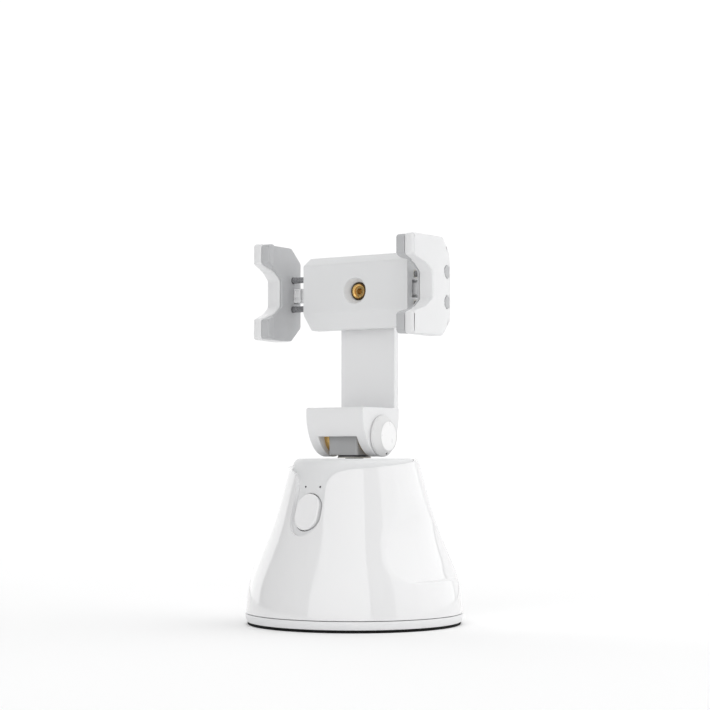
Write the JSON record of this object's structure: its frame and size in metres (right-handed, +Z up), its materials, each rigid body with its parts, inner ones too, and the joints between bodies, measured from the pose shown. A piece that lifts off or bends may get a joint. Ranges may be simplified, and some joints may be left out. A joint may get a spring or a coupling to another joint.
{
  "type": "gimbal stabilizer",
  "caption": "Desk phone holder with a bell-shaped motor base, a panning post, a tilting arm and a turning clamp with sprung jaws.",
  "frame": {"origin": "on the base's vertical axis at the height of the surface it stands on", "axes": "+Z up, -Y towards the side of the clamp that holds the phone, +X towards the tilt knob"},
  "size_m": [0.0956, 0.0956, 0.1685],
  "materials": {
    "gloss_white": "high-gloss moulded plastic",
    "matte_white": "fine matte moulded plastic",
    "satin_white": "satin moulded plastic",
    "pad_grey": "soft grey rubber",
    "foot_black": "black rubber",
    "steel": "ground steel",
    "brass": "turned brass",
    "gear_nylon": "natural nylon",
    "cell_wrap": "printed metal jacket, unmarked",
    "board_green": "lacquered board",
    "light_dark": "dark light guide"
  },
  "bodies": {
    "foot": {"bottom_cover": "satin_white", "foot_ring": "foot_black", "tripod_insert": "brass", "battery_springs": "steel"},
    "housing": {"outer_shell": "gloss_white", "inner_shell": "matte_white", "led_lenses": "light_dark", "battery_cells": "cell_wrap", "battery_cradle": "matte_white", "contact_strips": "steel", "circuit_board": "board_green", "power_switch": "foot_black", "gear_motor": "steel", "gear_deck": "matte_white", "deck_screws": "steel", "shaft_bearing": "gear_nylon"},
    "button": {"power_button": "satin_white"},
    "pinion": {"drive_pinion": "gear_nylon"},
    "turntable": {"output_gear": "gear_nylon", "pan_shaft": "steel", "turntable_washer": "foot_black", "post_screw": "steel", "tilt_post": "satin_white"},
    "bracket": {"tilt_bracket": "satin_white", "hinge_nut": "steel", "friction_washers": "brass", "pivot_pin": "brass", "pivot_washer": "gear_nylon", "pivot_bolt": "steel"},
    "knob": {"tilt_knob": "satin_white", "knob_cap": "gloss_white", "hinge_bolt": "steel"},
    "clamp": {"clamp_body": "matte_white", "clamp_back_cover": "matte_white", "clamp_screws": "steel", "guide_bushes": "gear_nylon", "jaw_springs": "steel"},
    "clamp_pinion": {"jaw_pinion": "gear_nylon"},
    "left_jaw": {"left_jaw_shell": "satin_white", "left_jaw_pads": "pad_grey", "left_jaw_rods": "steel", "left_rod_plugs": "pad_grey", "left_jaw_rack": "gear_nylon", "left_spring_clips": "steel"},
    "right_jaw": {"right_jaw_shell": "satin_white", "right_jaw_pads": "pad_grey", "right_jaw_rods": "steel", "right_rod_plugs": "pad_grey", "right_jaw_rack": "gear_nylon", "right_spring_clips": "steel"}
  },
  "joints": [
    {"name": "cover_twist", "type": "hinge", "parent": "foot", "child": "housing", "pos_m": [0, 0, 0.005], "axis": [0, 0, 1], "range_deg": [0, 20]},
    {"name": "button_press", "type": "slide", "parent": "housing", "child": "button", "axis": [0.087, 0.9557, -0.2812], "range_m": [0, 0.001], "stiffness_N_per_m": 600, "springref_m": -0.0005},
    {"name": "pan", "type": "hinge", "parent": "housing", "child": "turntable", "pos_m": [0, 0, 0.073], "axis": [0, 0, 1], "continuous": true},
    {"name": "pinion_spin", "type": "hinge", "parent": "housing", "child": "pinion", "pos_m": [-0.00136, -0.01494, 0.061], "axis": [0, 0, 1], "continuous": true},
    {"name": "tilt", "type": "hinge", "parent": "turntable", "child": "bracket", "pos_m": [0, -0.0015, 0.0822], "axis": [1, 0, 0], "range_deg": [-30, 30]},
    {"name": "knob_turn", "type": "hinge", "parent": "bracket", "child": "knob", "pos_m": [0.015, -0.0015, 0.0822], "axis": [1, 0, 0], "range_deg": [0, 180]},
    {"name": "clamp_turn", "type": "hinge", "parent": "bracket", "child": "clamp", "pos_m": [0, 0.007, 0.147], "axis": [0, 1, 0], "range_deg": [-90, 90]},
    {"name": "left_jaw_slide", "type": "slide", "parent": "clamp", "child": "left_jaw", "axis": [-1, 0, 0], "range_m": [-0.0078, 0.0075], "deforming": ["jaw_springs"]},
    {"name": "right_jaw_slide", "type": "slide", "parent": "clamp", "child": "right_jaw", "axis": [1, 0, 0], "range_m": [-0.0078, 0.0075]},
    {"name": "jaw_pinion_spin", "type": "hinge", "parent": "clamp", "child": "clamp_pinion", "pos_m": [0, 0.007, 0.147], "axis": [0, 1, 0], "range_deg": [-122, 134]}
  ],
  "couplings": [
    {"joint": "pinion_spin", "follows": "pan", "ratio": -4},
    {"joint": "right_jaw_slide", "follows": "left_jaw_slide", "ratio": 1},
    {"joint": "jaw_pinion_spin", "follows": "left_jaw_slide", "rad_per_m": -277.78}
  ]
}
